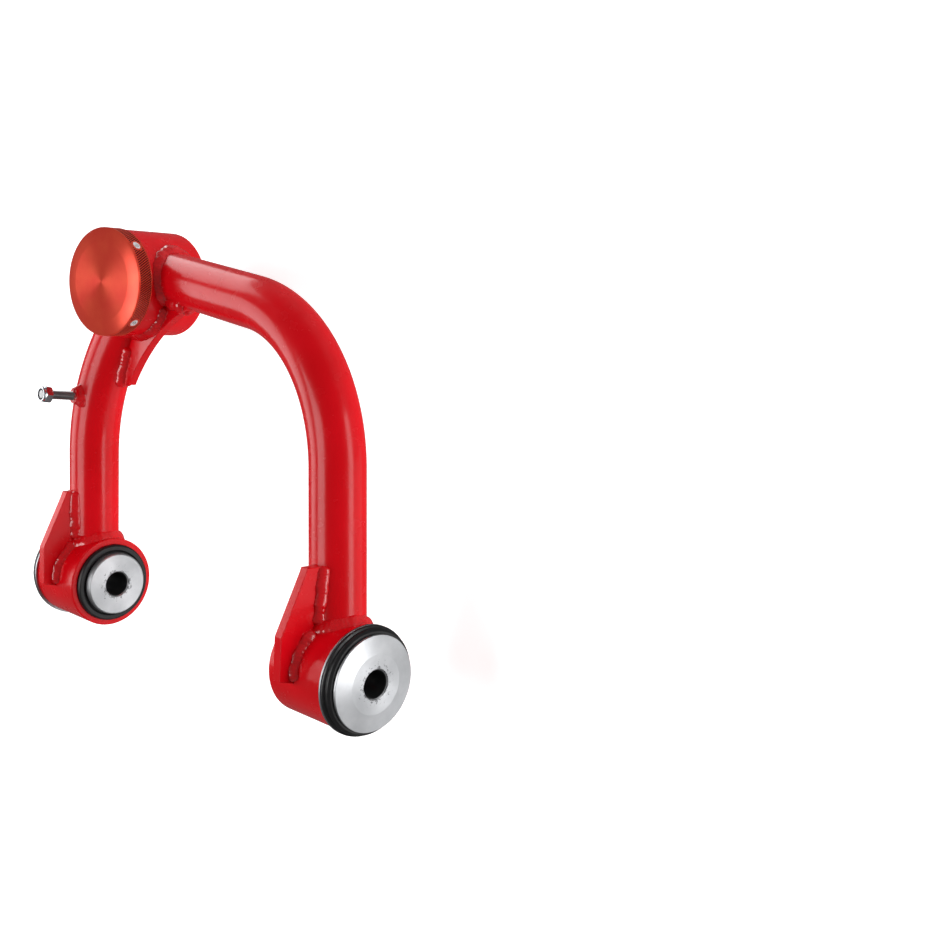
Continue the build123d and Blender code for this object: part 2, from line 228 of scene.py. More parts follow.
def prism(outline, place, low, high, edge):
    """A flat plate from a closed (u, v) outline between two levels, with its long edges rounded."""
    count = len(outline)
    area = sum(outline[i][0] * outline[(i + 1) % count][1] - outline[(i + 1) % count][0] * outline[i][1]
               for i in range(count))
    turn = 1 if area > 0 else -1
    steps = 3
    bottom = [(low + edge * (1 - cos(pi / 2 * k / steps)), edge * (1 - sin(pi / 2 * k / steps)))
              for k in range(steps + 1)]
    top = [(high + low - h, inset) for h, inset in reversed(bottom)]
    verts, faces = [], []
    for level, inset in bottom + top:
        for i in range(count):
            here = Vector(outline[i])
            a = (here - Vector(outline[i - 1])).normalized()
            b = (Vector(outline[(i + 1) % count]) - here).normalized()
            inward = (Vector((-a.y, a.x)) + Vector((-b.y, b.x))) * turn
            inward = inward.normalized() / max(0.5, sqrt(max(0.05, (1 + a.dot(b)) / 2)))
            spot = here + inward * inset
            verts.append(place(spot.x, spot.y, level))
    rows = len(bottom) + len(top)
    for j in range(rows - 1):
        for i in range(count):
            n = (i + 1) % count
            faces.append((j * count + i, j * count + n, (j + 1) * count + n, (j + 1) * count + i))
    faces.append(tuple(range(count)))
    faces.append(tuple((rows - 1) * count + i for i in range(count)))
    return verts, faces


# ---------------------------------------------------------------- helpers: tube paths
class Path:
    """A straight run, one bend and another straight run."""

    def __init__(self, points, bend_r):
        a, knee, b = (Vector(p) for p in points)
        self.start = a
        self.d0 = (knee - a).normalized()
        self.d1 = (b - knee).normalized()
        self.turn = acos(self.d0.dot(self.d1))
        back = bend_r * tan(self.turn / 2)
        self.run = (knee - a).length - back
        self.arc = bend_r * self.turn
        self.bend_r = bend_r
        side = (self.d1 - self.d0 * self.d0.dot(self.d1)).normalized()
        self.side = side
        self.centre = a + self.d0 * self.run + side * bend_r
        self.last = (b - knee).length - back
        self.length = self.run + self.arc + self.last

    def at(self, s):
        """Point and direction at a distance along the path."""
        if s <= self.run:
            return self.start + self.d0 * s, self.d0
        if s <= self.run + self.arc:
            t = (s - self.run) / self.bend_r
            point = self.centre + self.d0 * (self.bend_r * sin(t)) - self.side * (self.bend_r * cos(t))
            return point, self.d0 * cos(t) + self.side * sin(t)
        rest = s - self.run - self.arc
        base = self.centre
        base = base + self.d0 * (self.bend_r * sin(self.turn)) - self.side * (self.bend_r * cos(self.turn))
        return base + self.d1 * rest, self.d1

    def around(self, s, angle, r):
        """Point on a tube of radius r; angle 0 is the outside of the bend, 90 degrees its upper side."""
        point, along = self.at(s)
        up = self.side.cross(self.d0).normalized()
        if up.z < 0:
            up = -up
        out = along.cross(up).normalized()
        return point + out * (r * cos(angle)) + up * (r * sin(angle)), out * cos(angle) + up * sin(angle)

    def meets(self, angle, r, distance, low, high):
        """Station between low and high where distance(point) changes sign."""
        first = distance(self.around(low, angle, r)[0]) > 0
        for _ in range(40):
            middle = (low + high) / 2
            if (distance(self.around(middle, angle, r)[0]) > 0) == first:
                low = middle
            else:
                high = middle
        return (low + high) / 2


front_path = Path(front_points, front_bend_r)
rear_path = Path(rear_points, rear_bend_r)


def from_eye(radius):
    return lambda p: sqrt(p.x * p.x + p.z * p.z) - radius


def from_cup(radius):
    def distance(p):
        v = p - ball_centre
        v -= cup_up * v.dot(cup_up)
        return v.length - radius
    return distance


# ---------------------------------------------------------------- helpers: materials
def new_material(name):
    mat = bpy.data.materials.new(name)
    mat.use_nodes = True
    return mat, mat.node_tree.nodes, mat.node_tree.links, mat.node_tree.nodes["Principled BSDF"]


def grain(nodes, links, source, scale, detail=3.0, rough=0.5):
    made = nodes.new("ShaderNodeTexNoise")
    made.inputs["Scale"].default_value = scale
    made.inputs["Detail"].default_value = detail
    made.inputs["Roughness"].default_value = rough
    links.new(source, made.inputs["Vector"])
    return made.outputs["Fac"]


def remap(nodes, links, source, low, high, to_low, to_high):
    made = nodes.new("ShaderNodeMapRange")
    made.inputs["From Min"].default_value = low
    made.inputs["From Max"].default_value = high
    made.inputs["To Min"].default_value = to_low
    made.inputs["To Max"].default_value = to_high
    links.new(source, made.inputs["Value"])
    return made.outputs["Result"]


def blend_colours(nodes, links, factor, first, second):
    made = nodes.new("ShaderNodeMix")
    made.data_type = "RGBA"
    for socket, value in ((6, first), (7, second)):
        if isinstance(value, tuple):
            made.inputs[socket].default_value = (*value, 1)
        else:
            links.new(value, made.inputs[socket])
    links.new(factor, made.inputs[0])
    return made.outputs[2]


def bumped(nodes, links, target, layers):
    """Chains of bump from (height, strength, distance in millimetres)."""
    last = None
    for height, strength, distance in layers:
        made = nodes.new("ShaderNodeBump")
        made.inputs["Strength"].default_value = strength
        made.inputs["Distance"].default_value = distance * MM
        links.new(height, made.inputs["Height"])
        if last:
            links.new(last, made.inputs["Normal"])
        last = made.outputs["Normal"]
    links.new(last, target)


def calc(nodes, links, operation, a, b=None):
    made = nodes.new("ShaderNodeMath")
    made.operation = operation
    for i, value in enumerate((a, b)):
        if value is None:
            continue
        if isinstance(value, (int, float)):
            made.inputs[i].default_value = value
        else:
            links.new(value, made.inputs[i])
    return made.outputs[0]


def turning(nodes, links, origin, axis):
    """Distance from an axis, and the direction round it, in the piece's own coordinates."""
    place = nodes.new("ShaderNodeTexCoord").outputs["Object"]
    offset = nodes.new("ShaderNodeVectorMath")
    offset.operation = "SUBTRACT"
    links.new(place, offset.inputs[0])
    offset.inputs[1].default_value = origin
    cross = nodes.new("ShaderNodeVectorMath")
    cross.operation = "CROSS_PRODUCT"
    cross.inputs[0].default_value = axis
    links.new(offset.outputs[0], cross.inputs[1])
    length = nodes.new("ShaderNodeVectorMath")
    length.operation = "LENGTH"
    links.new(cross.outputs[0], length.inputs[0])
    unit = nodes.new("ShaderNodeVectorMath")
    unit.operation = "NORMALIZE"
    links.new(cross.outputs[0], unit.inputs[0])
    world = nodes.new("ShaderNodeVectorTransform")
    world.vector_type = "VECTOR"
    world.convert_from = "OBJECT"
    world.convert_to = "WORLD"
    links.new(unit.outputs[0], world.inputs[0])
    return place, length.outputs["Value"], world.outputs[0]


def rings(nodes, links, radius, scale, detail=4.0):
    """Uneven concentric grooves: noise that only changes with the radius."""
    combine = nodes.new("ShaderNodeCombineXYZ")
    links.new(radius, combine.inputs[0])
    return grain(nodes, links, combine.outputs[0], scale, detail, 0.6)


def paint_material(name, coat, specular):
    """Powder coat with a slight orange peel."""
    mat, nodes, links, shader = new_material(name)
    place = nodes.new("ShaderNodeTexCoord").outputs["Object"]
    broad = remap(nodes, links, grain(nodes, links, place, 28, 2), 0.3, 0.7, 0, 1)
    colour = blend_colours(nodes, links, broad, (0.65, 0.0010, 0.005), (0.73, 0.0018, 0.008))
    links.new(colour, shader.inputs["Base Color"])
    rough = remap(nodes, links, grain(nodes, links, place, 120, 3), 0.25, 0.75, 0.20, 0.30)
    links.new(rough, shader.inputs["Roughness"])
    shader.inputs["Coat Weight"].default_value = coat
    shader.inputs["Specular IOR Level"].default_value = specular
    shader.inputs["Coat Roughness"].default_value = 0.09
    shader.inputs["IOR"].default_value = 1.5
    peel = grain(nodes, links, place, 230, 2)
    fine = grain(nodes, links, place, 900, 2)
    bumped(nodes, links, shader.inputs["Normal"], [(peel, 0.07, 0.16), (fine, 0.05, 0.05)])
    links.new(shader.inputs["Normal"].links[0].from_socket, shader.inputs["Coat Normal"])
    return mat


def turned_metal(name, origin, axis, dull, bright, rough, groove_scale, groove_depth, anisotropy,
                 pits_and_bore_shade=None):
    """Lathe-turned metal: fine rings, stretched highlights, handling pits and, where given, painted shade
    inside the bore.
    """
    mat, nodes, links, shader = new_material(name)
    place, radius, tangent = turning(nodes, links, origin, axis)
    ring = rings(nodes, links, radius, groove_scale)
    cloud = grain(nodes, links, place, 70, 4)
    colour = blend_colours(nodes, links, remap(nodes, links, cloud, 0.3, 0.7, 0, 1), dull, bright)
    if pits_and_bore_shade:
        near, far, tone = pits_and_bore_shade
        close = remap(nodes, links, radius, near, far, 0.22, 0)
        outside = remap(nodes, links, radius, near - 0.0003, near, -0.5, 0)
        close = calc(nodes, links, "ADD", close, outside)
        pits = calc(nodes, links, "ADD", grain(nodes, links, place, 480, 6, 0.75), close)
        pits = remap(nodes, links, pits, 0.71, 0.77, 0, 0.8)
        colour = blend_colours(nodes, links, pits, colour, tone)
        # painted shade: the bore's wall and the start of its chamfer are coloured near black
        inside = remap(nodes, links, radius, near - 0.0004, near - 0.0003, 0.9, 0)
        colour = blend_colours(nodes, links, inside, colour, (0.10, 0.10, 0.104))
    links.new(colour, shader.inputs["Base Color"])
    shader.inputs["Metallic"].default_value = 1.0
    links.new(remap(nodes, links, ring, 0.3, 0.7, rough - 0.06, rough + 0.07), shader.inputs["Roughness"])
    shader.inputs["Anisotropic"].default_value = anisotropy
    shader.inputs["Anisotropic Rotation"].default_value = 0.25
    links.new(tangent, shader.inputs["Tangent"])
    layers = [(ring, 0.35, groove_depth), (grain(nodes, links, place, 600, 3), 0.10, 0.05)]
    bumped(nodes, links, shader.inputs["Normal"], layers)
    return mat


def plain_metal(name, dull, bright, rough, grain_scale=300, bump=0.12, metal=1.0):
    """Plated or forged steel with slight stains and grain."""
    mat, nodes, links, shader = new_material(name)
    place = nodes.new("ShaderNodeTexCoord").outputs["Object"]
    cloud = remap(nodes, links, grain(nodes, links, place, 90, 4), 0.3, 0.7, 0, 1)
    links.new(blend_colours(nodes, links, cloud, dull, bright), shader.inputs["Base Color"])
    shader.inputs["Metallic"].default_value = metal
    fine = grain(nodes, links, place, grain_scale, 4)
    links.new(remap(nodes, links, fine, 0.3, 0.7, rough - 0.06, rough + 0.08), shader.inputs["Roughness"])
    bumped(nodes, links, shader.inputs["Normal"], [(fine, bump, 0.12)])
    return mat


def moulded(name, dark, light, rough, grain_scale=500, bump=0.15):
    """Rubber or plastic with a matt skin, faint dust and mould grain."""
    mat, nodes, links, shader = new_material(name)
    place = nodes.new("ShaderNodeTexCoord").outputs["Object"]
    dust = remap(nodes, links, grain(nodes, links, place, 60, 5, 0.65), 0.42, 0.75, 0, 1)
    links.new(blend_colours(nodes, links, dust, dark, light), shader.inputs["Base Color"])
    fine = grain(nodes, links, place, grain_scale, 3)
    links.new(remap(nodes, links, fine, 0.3, 0.7, rough - 0.07, rough + 0.10), shader.inputs["Roughness"])
    bumped(nodes, links, shader.inputs["Normal"], [(fine, bump, 0.15)])
    return mat


def cap_material():
    """Anodised aluminium, spun on its face, with painted shade darkening the grooves of the knurl."""
    mat = turned_metal("red_anodised", tuple(ball_centre * MM), tuple(cup_up), (0.90, 0.060, 0.035),
                       (0.97, 0.095, 0.045), 0.32, 5200, 0.03, 0.72)
    nodes, links = mat.node_tree.nodes, mat.node_tree.links
    shader = nodes["Principled BSDF"]
    shader.inputs["Metallic"].default_value = 0.46
    place, radius, _ = turning(nodes, links, tuple(ball_centre * MM), tuple(cup_up))
    offset = nodes.new("ShaderNodeVectorMath")
    offset.operation = "SUBTRACT"
    links.new(place, offset.inputs[0])
    offset.inputs[1].default_value = tuple(ball_centre * MM)
    height = nodes.new("ShaderNodeVectorMath")
    height.operation = "DOT_PRODUCT"
    height.inputs[1].default_value = tuple(cup_up)
    links.new(offset.outputs[0], height.inputs[0])
    # painted shade: inside the knurled band the grooves are blended towards near-black red, more the deeper
    # they lie
    below = remap(nodes, links, height.outputs["Value"], 0.0352, 0.0354, 1, 0)
    outer = remap(nodes, links, radius, 0.0334, 0.0336, 0, 1)
    groove_shade_depth = remap(nodes, links, radius, 0.0338, 0.0342, 1, 0.10)
    groove_shade = calc(nodes, links, "MULTIPLY", calc(nodes, links, "MULTIPLY", below, outer), groove_shade_depth)
    dyed = shader.inputs["Base Color"].links[0].from_socket
    colour = blend_colours(nodes, links, groove_shade, dyed, (0.050, 0.001, 0.003))
    links.new(colour, shader.inputs["Base Color"])
    return mat


weld_paint = paint_material("red_powder_coat_over_weld", 0.60, 0.50)
materials = {
    "paint": paint_material("red_powder_coat", 0.14, 0.22),
    "cap_anodised": cap_material(),
    # the last argument places pits round the bore and painted shade inside it
    "alloy": turned_metal("turned_aluminium", (0, 0, 0), (0, 1, 0), (0.60, 0.61, 0.63), (0.76, 0.77, 0.79),
                          0.42, 3800, 0.06, 0.45, (0.0085, 0.017, (0.08, 0.08, 0.09))),
    "rubber": moulded("black_rubber", (0.004, 0.004, 0.0045), (0.014, 0.014, 0.015), 0.36),
    "shell_steel": plain_metal("grey_steel", (0.30, 0.31, 0.33), (0.48, 0.49, 0.51), 0.36),
    "stud_steel": plain_metal("ground_steel", (0.42, 0.42, 0.43), (0.58, 0.58, 0.60), 0.30),
    "body_steel": plain_metal("machined_steel", (0.34, 0.34, 0.35), (0.50, 0.50, 0.52), 0.34),
    "zinc": plain_metal("zinc_plate", (0.62, 0.64, 0.68), (0.80, 0.82, 0.85), 0.22),
    "dark_steel": plain_metal("black_oxide", (0.30, 0.30, 0.305), (0.44, 0.44, 0.45), 0.40),
    "polymer": moulded("bearing_polymer", (0.62, 0.60, 0.54), (0.70, 0.69, 0.64), 0.40),
    "nylon": moulded("black_nylon", (0.008, 0.008, 0.009), (0.02, 0.02, 0.022), 0.34),
    "chrome": plain_metal("bright_plate", (0.88, 0.89, 0.90), (0.97, 0.97, 0.98), 0.26, metal=0.35),
}


# ---------------------------------------------------------------- CAD nodes that stay
slot_of = {part["node"]: part["material_slot"] for part in frame["record"]["subparts"]}
for name, obj in frame["nodes"].items():
    slot = slot_of.get(name)
    if slot:
        for holder in obj.material_slots:
            holder.material = materials[slot]
        if not obj.material_slots:
            obj.data.materials.append(materials[slot])


# ---------------------------------------------------------------- tubes
end_reach = 60  # a tube meets its eye within this length of its start
cup_reach = 62  # and the cup within this length of its end


def coped_tube(name, path, node_name, eye_depth=28.0, cup_depth=31.5, around=72, step=1.6):
    """A tube whose ends reach into the walls of the eye and the cup."""
    verts, faces = [], []
    starts, ends = [], []
    for k in range(around):
        angle = 2 * pi * k / around
        starts.append(path.meets(angle, tube_r, from_eye(eye_depth), 0, end_reach))
        ends.append(path.meets(angle, tube_r, from_cup(cup_depth), path.length - cup_reach, path.length))
    rows = int(path.length / step)
    for j in range(rows + 1):
        t = j / rows
        for k in range(around):
            s = starts[k] + (ends[k] - starts[k]) * t
            verts.append(path.around(s, 2 * pi * k / around, tube_r)[0])
    for j in range(rows):
        for k in range(around):
            n = (k + 1) % around
            faces.append((j * around + k, j * around + n, (j + 1) * around + n, (j + 1) * around + k))
    faces.append(tuple(range(around)))
    faces.append(tuple(rows * around + k for k in range(around)))
    return add_piece(name, verts, faces, "paint", [node_name])


coped_tube("front_tube_skin", front_path, "front_tube")
coped_tube("rear_tube_skin", rear_path, "rear_tube")


# ---------------------------------------------------------------- weld beads
def bead(name, lines, node_names, width, height, seed, lump=0.7, pitch=2.6, ripple=0.14):
    """Painted weld runs along lines of (point, outward normal). A closed line ends at its first point."""
    verts, faces = [], []
    around = 20
    for number, line in enumerate(lines):
        points = [p for p, _ in line]
        normals = [n for _, n in line]
        closed = (points[0] - points[-1]).length < 0.05
        lengths = [0.0]
        for a, b in zip(points, points[1:]):
            lengths.append(lengths[-1] + (b - a).length)
        total = lengths[-1]
        count = max(8, int(total / 0.5))
        ripples = max(1, round(total / pitch))
        base = len(verts)
        shift = Vector((seed + 7.3 * number, 3.1 * seed, 1.7 * number))
        rows = count if closed else count + 1
        j = 0
        for i in range(rows):
            s = total * i / count
            while j < len(lengths) - 2 and lengths[j + 1] < s:
                j += 1
            t = (s - lengths[j]) / max(1e-6, lengths[j + 1] - lengths[j])
            here = points[j].lerp(points[j + 1], t)
            out = normals[j].lerp(normals[j + 1], t).normalized()
            along = (points[j + 1] - points[j]).normalized()
            side = along.cross(out).normalized()
            out = side.cross(along).normalized()
            wander = noise.noise(here * 0.13 + shift)
            size = 1 + 0.16 * wander
            drift = 0.5 * noise.noise(here * 0.09 + shift * 2)
            if not closed:
                end = min(s, total - s)
                size *= sqrt(max(0.0, 1 - (1 - min(1.0, end / 3.4)) ** 2)) * 0.999 + 0.001
            for k in range(around):
                angle = 2 * pi * k / around
                c, d = cos(angle), sin(angle)
                c = (abs(c) ** 0.75) * (1 if c > 0 else -1)
                d = (abs(d) ** 0.9) * (1 if d > 0 else -1)
                phase = ripples * s / total - 0.42 * (1 - c) + 0.25 * noise.noise(here * 0.3 + shift)
                crest = abs(sin(pi * phase)) ** 0.8
                spot = here + out * (height * size * c) + side * (width * size * d + drift)
                push = ripple * (crest - 0.5) + lump * noise.noise(spot * 0.22 + shift) \
                    + 0.18 * noise.noise(spot * 0.8 + shift)
                verts.append(spot + (out * c + side * d) * push * size)
        for i in range(rows if closed else rows - 1):
            n = (i + 1) % rows
            for k in range(around):
                m = (k + 1) % around
                here, there = base + i * around, base + n * around
                faces.append((here + k, here + m, there + m, there + k))
        if not closed:
            faces.append(tuple(base + k for k in range(around)))
            faces.append(tuple(base + (rows - 1) * around + k for k in range(around)))
    obj = add_piece(name, verts, faces, "paint", node_names, sharp=60, weighted=False)
    obj.data.materials[0] = weld_paint
    return obj


def tube_ring(path, distance, low, high, cylinder_normal):
    """The line where a tube meets a cylinder, with the direction that bisects the corner."""
    line = []
    steps = 120
    for k in range(steps + 1):
        angle = 2 * pi * (k % steps) / steps
        s = path.meets(angle, tube_r, distance, low, high)
        point, normal = path.around(s, angle, tube_r)
        other = cylinder_normal(point)
        line.append((point, (normal + other).normalized()))
    return line


def eye_normal(p):
    return Vector((p.x, 0, p.z)).normalized()


def cup_normal(p):
    v = p - ball_centre
    return (v - cup_up * v.dot(cup_up)).normalized()


for end, path, seed in (("front", front_path, 1.0), ("rear", rear_path, 5.0)):
    ring = tube_ring(path, from_eye(eye_r), 0, end_reach, eye_normal)
    bead(f"{end}_eye_weld_bead", [ring], [f"{end}_eye_weld"], width=4.9, height=3.1, seed=seed)
    ring = tube_ring(path, from_cup(cup_r), path.length - cup_reach, path.length, cup_normal)
    bead(f"{end}_cup_weld_bead", [ring], [f"{end}_cup_weld"], width=4.7, height=3.1, seed=seed + 2)

# ---------------------------------------------------------------- gussets at the eyes
gusset_end_x = 60.3
gusset_inside_tube = 14.6  # the plate's edges run on into the walls of the tube and the eye
gusset_inside_eye = 28.4
gusset_top = [(gusset_end_x, 24.1), (56.3, 25.6), (23.5, 39.9), (-1.5, 39.4)]
bead_start_x = gusset_end_x + 0.5
bead_end_x = 27.5
ends = (("front", front_path, gusset_front_y, 11.0), ("rear", rear_path, gusset_rear_y, 15.0))
for end, path, middle, seed in ends:
    foot = []
    for k in range(11):
        a = radians(97.5 - 6.5 * k)
        foot.append((gusset_inside_eye * cos(a), gusset_inside_eye * sin(a)))
    outline = [(gusset_end_x, gusset_inside_tube)] + gusset_top + foot
    soft = rounded([(u + 100, v) for u, v in outline], 0.5, 2)
    verts, faces = prism([(u - 100, v) for u, v in soft], lambda u, v, w, m=middle: Vector((u, m + w, v)),
                         -gusset_t / 2, gusset_t / 2, 0.40)
    add_piece(f"{end}_gusset_plate", verts, faces, "paint", [f"{end}_gusset"])
    lines = []
    for face in (-1, 1):
        y = middle + face * gusset_t / 2
        across = Vector((0, face, 0))
        along_tube = []
        for k in range(25):
            x = bead_start_x - (bead_start_x - bead_end_x) * k / 24
            s = x / path.d0.x
            centre, _ = path.at(s)
            off = y - centre.y
            rise = sqrt(max(0.0, tube_r ** 2 - off ** 2))
            point = Vector((x, y, centre.z + rise))
            normal = Vector((0, off, rise)).normalized()
            along_tube.append((point, (normal + across).normalized()))
        on_eye = []
        for k in range(25):
            a = radians(35 + (94 - 35) * k / 24)
            point = Vector((eye_r * cos(a), y, eye_r * sin(a)))
            on_eye.append((point, eye_normal(point) * 0.9 + across))
        lines += [along_tube, on_eye]
    bead(f"{end}_gusset_weld_beads", lines, [f"{end}_gusset_welds"], width=4.3, height=3.4, seed=seed,
         lump=0.6)


# ---------------------------------------------------------------- web plate
def arc_through(a, b, c, steps):
    """Points along the arc from a to c through b."""
    a, b, c = Vector(a), Vector(b), Vector(c)
    d = 2 * (a.x * (b.y - c.y) + b.x * (c.y - a.y) + c.x * (a.y - b.y))
    aa, bb, cc = a.length_squared, b.length_squared, c.length_squared
    x = (aa * (b.y - c.y) + bb * (c.y - a.y) + cc * (a.y - b.y)) / d
    y = (aa * (c.x - b.x) + bb * (a.x - c.x) + cc * (b.x - a.x)) / d
    first = atan2(a.y - y, a.x - x)
    last = atan2(c.y - y, c.x - x)
    while last - first > pi:
        last -= 2 * pi
    while first - last > pi:
        last += 2 * pi
    r = (a - Vector((x, y))).length
    angles = [first + (last - first) * k / steps for k in range(steps + 1)]
    return [(x + r * cos(angle), y + r * sin(angle)) for angle in angles]


def nearest_on(path, x, y):
    """Station of the path nearest to a point seen from above."""
    best, where = 1e9, 0.0
    for k in range(401):
        s = path.length * k / 400
        p, _ = path.at(s)
        d = (p.x - x) ** 2 + (p.y - y) ** 2
        if d < best:
            best, where = d, s
    return where


free_edge = arc_through((135.5, 98.5), (167.8, 70.6), (191.0, 31.0), 28)
cup_here = ball_centre + cup_up * ((web_z - ball_centre.z) / cup_up.z)
inside_cup = 31  # the plate runs on into the cup's wall
cup_side = []
for k in range(11):
    a = radians(250 - 9 * k)
    cup_side.append((cup_here.x + inside_cup * cos(a), cup_here.y + inside_cup * sin(a)))
web_outline = free_edge + [(193.5, 36.0)] + cup_side + [(160, 107), (148, 111.5), (135.5, 113.5)]
verts, faces = prism(web_outline, lambda u, v, w: Vector((u, v, web_z + w)), -web_t / 2, web_t / 2, 0.40)
add_piece("web_gusset_plate", verts, faces, "paint", ["web_gusset"])

web_lines = []
for face in (-1, 1):
    z = web_z + face * web_t / 2
    across = Vector((0, 0, face))
    for path, low, high in (
        (front_path, nearest_on(front_path, 198, 36), nearest_on(front_path, 202, 54)),
        (rear_path, nearest_on(rear_path, 138, 127), nearest_on(rear_path, 168, 115)),
    ):
        line = []
        for k in range(25):
            s = low + (high - low) * k / 24
            centre, along = path.at(s)
            rise = z - centre.z
            reach = sqrt(max(1.0, tube_r ** 2 - rise ** 2))
            inside = Vector((0, 0, 1)).cross(along)
            inside = Vector((inside.x, inside.y, 0)).normalized()
            if inside.dot(Vector((150, 60, 0)) - Vector((centre.x, centre.y, 0))) < 0:
                inside = -inside
            point = Vector((centre.x, centre.y, z)) + inside * reach
            normal = (inside * reach + Vector((0, 0, rise))).normalized()
            line.append((point, (normal + across).normalized()))
        web_lines.append(line)
    line = []
    for k in range(25):
        a = radians(247 - 80 * k / 24)
        c = ball_centre + cup_up * ((z - ball_centre.z) / cup_up.z)
        out = Vector((cos(a), sin(a), 0))
        line.append((c + out * cup_r, (out + across).normalized()))
    web_lines.append(line)
bead("web_gusset_weld_beads", web_lines, ["web_gusset_welds"], width=4.3, height=3.4, seed=21.0, lump=0.6)

# ---------------------------------------------------------------- eyes and cup
for end, side in (("front", -1), ("rear", 1)):
    outline = [(eye_bore_r, eye_inner_y, 0.3), (eye_r, eye_inner_y, 0.9), (eye_r, eye_outer_y, 0.25),
               (eye_bore_r, eye_outer_y, 0.1)]
    verts, faces = lathe(rounded(outline, 0.4, 4), pivot_point(side), 192)
    add_piece(f"{end}_eye_ring", verts, faces, "paint", [f"{end}_eye"])

outline = [(cup_bore_r, cup_bottom, 0.2), (cup_r, cup_bottom, 1.1), (cup_r, cup_top, 0.4),
           (cup_bore_r, cup_top, 0.1)]
verts, faces = lathe(rounded(outline, 0.4, 4), cup_point, 192)
add_piece("ball_joint_cup_ring", verts, faces, "paint", ["ball_joint_cup"])

# ---------------------------------------------------------------- bushings
for end, side in (("front", -1), ("rear", 1)):
    shell = [(shell_bore_r, shell_start_y, 0.1), (eye_bore_r, shell_start_y, 0.2),
             (eye_bore_r, eye_outer_y, 0.0), (flange_r, eye_outer_y, 0.35),
             (flange_r, flange_end_y, 0.45), (shell_bore_r, flange_end_y, 0.1)]
    verts, faces = lathe(rounded(shell, 0.3, 3), pivot_point(side), 192)
    add_piece(f"{end}_bushing_shell_ring", verts, faces, "shell_steel", [f"{end}_bushing_shell"])
    inside_r = core_r + 0.05
    rubber = [(inside_r, 106.0, 0.2), (21.5, 106.0, 0.5), (22.5, 104.8, 0.6), (25.2, 104.8, 0.7),
              (eye_bore_r, 106.0, 0.3), (eye_bore_r, shell_start_y, 0.1), (shell_bore_r, shell_start_y, 0.1),
              (shell_bore_r, flange_end_y, 0.0), (31.0, 155.15, 0.3), (flange_r, 156.0, 0.5),
              (31.2, 156.9, 0.6), (29.7, 157.6, 0.5), (30.3, 159.2, 0.9), (28.9, 160.95, 0.8),
              (inside_r, 161.0, 0.1)]
    verts, faces = lathe(rounded(rubber, 0.3, 4), pivot_point(side), 192)
    add_piece(f"{end}_bushing_rubber_ring", verts, faces, "rubber", [f"{end}_bushing_rubber"])
    sleeve = [(bore_r, sleeve_start_y + 1, 0.2), (bore_r + 0.9, sleeve_start_y, 0.2),
              (20.0, sleeve_start_y, 0.25), (small_disc_r, 101.1, 0.25), (small_disc_r, 105.6, 0.4),
              (core_r, 105.6, 0.2), (core_r, 161.4, 0.2), (27.2, 161.4, 0.3),
              (big_disc_r, 161.7, 0.2), (big_disc_r, 162.8, 0.2), (27.3, 163.05, 0.2),
              (17.0, sleeve_end_y, 0.2), (bore_r + 0.9, sleeve_end_y, 0.2), (bore_r, sleeve_end_y - 1, 0.2)]
    verts, faces = lathe(rounded(sleeve, 0.3, 3), pivot_point(side), 192)
    add_piece(f"{end}_bushing_sleeve_turned", verts, faces, "alloy", [f"{end}_bushing_sleeve"],
              f"{end}_sleeve")

# ---------------------------------------------------------------- billet cap with its slanted knurl
knurl_low, knurl_high = 26.2, 35.0
knurl_teeth = 144
knurl_depth = 0.6
pitch = 2 * pi * cap_r / knurl_teeth


def triangle(x):
    """A wave that falls from 1 to 0 and climbs back to 1 as x grows by 1."""
    return abs(2 * (x % 1.0) - 1)


def knurl(r, angle, h):
    """Radius of the cap's band: slanted teeth, plain round each set screw and pitted under it."""
    if r < cap_r - 0.01 or h < knurl_low or h > knurl_high:
        return r
    turn = angle / (2 * pi) * knurl_teeth
    cut = triangle(turn + 0.6 * h / pitch)
    ends = min(1.0, (h - knurl_low) / 0.35, (knurl_high - h) / 0.35)
    hole = 1.0
    for degrees in screw_degrees:
        a = abs((angle - radians(degrees) + pi) % (2 * pi) - pi) * cap_r
        away = sqrt(a * a + (h - screw_height) ** 2)
        if away < 2.3:
            return 31.5
        if away < 3.9:
            hole = 0.0
    return r - knurl_depth * (1 - cut) * max(0.0, ends) * hole


band = [(cap_r, knurl_low + (knurl_high - knurl_low) * k / 44) for k in range(45)]
crown = []
for k in range(11):
    run = 8.5 * k / 10
    crown.append((25.6 + run, 37.86 - 0.09 * run - 0.0135 * run * run))
crown.reverse()
skirt = [(0, 33.6), (30.1, 33.6), (30.1, cup_top + 0.1), (30.3, cup_top), (33.9, cup_top),
         (cap_r, cup_top + 0.3)]
rim = [(cap_r, 35.3), (cap_r, 35.8), (34.22, 36.0)]
flat = [(25.4, 37.88), (25.2, 37.9), (12.0, 37.9), (0.5, 37.9), (0, 37.9)]
cap_profile = skirt + band + rim + crown + flat
verts, faces = lathe(cap_profile, cup_point, 1152, knurl)
add_piece("billet_cap_knurled", verts, faces, "cap_anodised", ["billet_cap"], sharp=50)

# set screws with hexagon sockets, sunk in the knurled edge
screw_verts, screw_faces = [], []
for degrees in screw_degrees:
    a = radians(degrees)
    out = cup_x * cos(a) + cup_y * sin(a)
    across = cup_up.cross(out)
    middle = ball_centre + cup_up * screw_height

    def screw_place(r, angle, h, out=out, across=across, middle=middle):
        return middle + out * h + across * (r * cos(angle)) + cup_up * (r * sin(angle))

    def hexed(r, angle, h):
        if r > 1.95:
            return r
        return r / cos((angle + pi / 6) % (pi / 3) - pi / 6) * 0.93

    shape = rounded([(0, 30.1), (3.05, 30.1, 0.2), (3.05, cap_r, 0.7), (1.5, cap_r, 0.15), (1.5, 32.6, 0.05),
                     (0, 32.5)], 0.2, 3)
    v, f = lathe(shape, screw_place, 48, hexed)
    base = len(screw_verts)
    screw_verts += v
    screw_faces += [tuple(base + i for i in face) for face in f]
add_piece("cap_set_screws_socketed", screw_verts, screw_faces, "chrome", ["cap_set_screws"])

